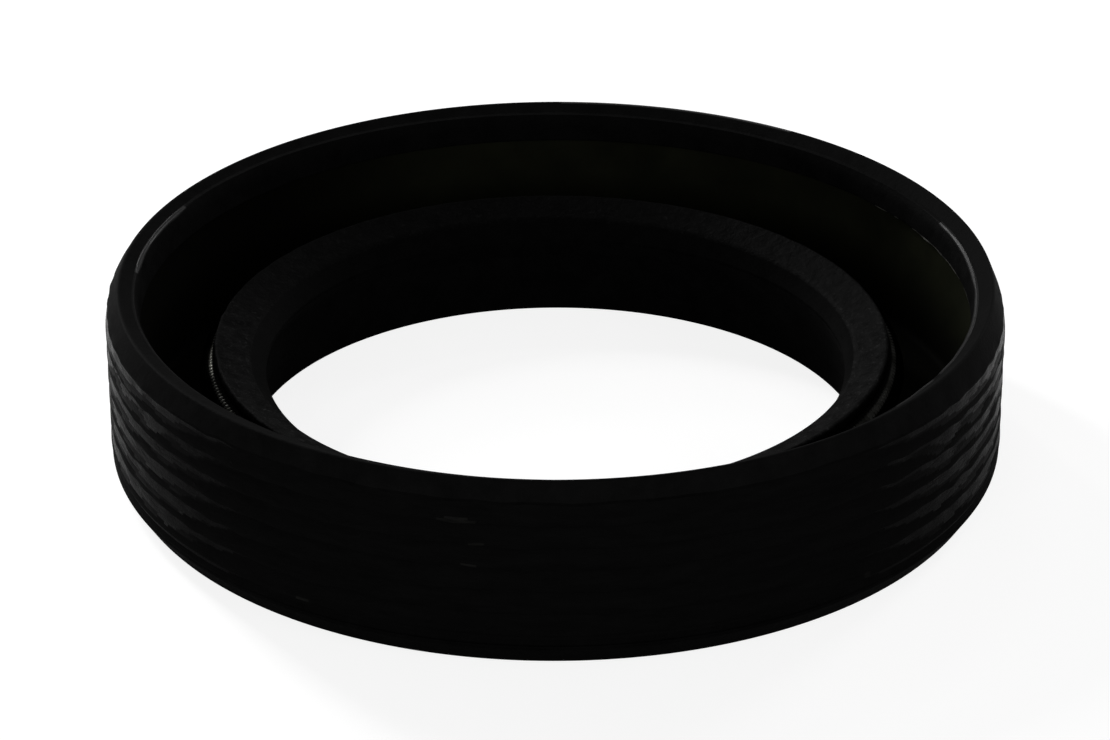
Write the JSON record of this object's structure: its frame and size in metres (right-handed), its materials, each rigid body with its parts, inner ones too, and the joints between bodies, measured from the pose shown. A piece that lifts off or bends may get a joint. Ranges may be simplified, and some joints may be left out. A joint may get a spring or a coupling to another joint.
{
  "type": "radial shaft seal",
  "caption": "Radial shaft seal with a garter spring behind its lip, a pressed steel case and ribbed rubber round the outside.",
  "frame": {"origin": "on the shaft's axis, in the plane of the air-side face that the seal lies on", "axes": "+Z along the shaft's axis, from the air side to the oil side where the garter spring is seen; X and Y are equivalent"},
  "size_m": [0.047, 0.047, 0.01],
  "materials": {
    "rubber": "moulded black nitrile rubber, semi-matte, talc dusted in the grooves",
    "case_steel": "pressed steel with a thin dark olive bonding coat",
    "spring_steel": "oiled spring wire, closely wound"
  },
  "bodies": {
    "root": {"rubber_body": "rubber", "steel_case": "case_steel", "garter_spring": "spring_steel"}
  },
  "joints": []
}
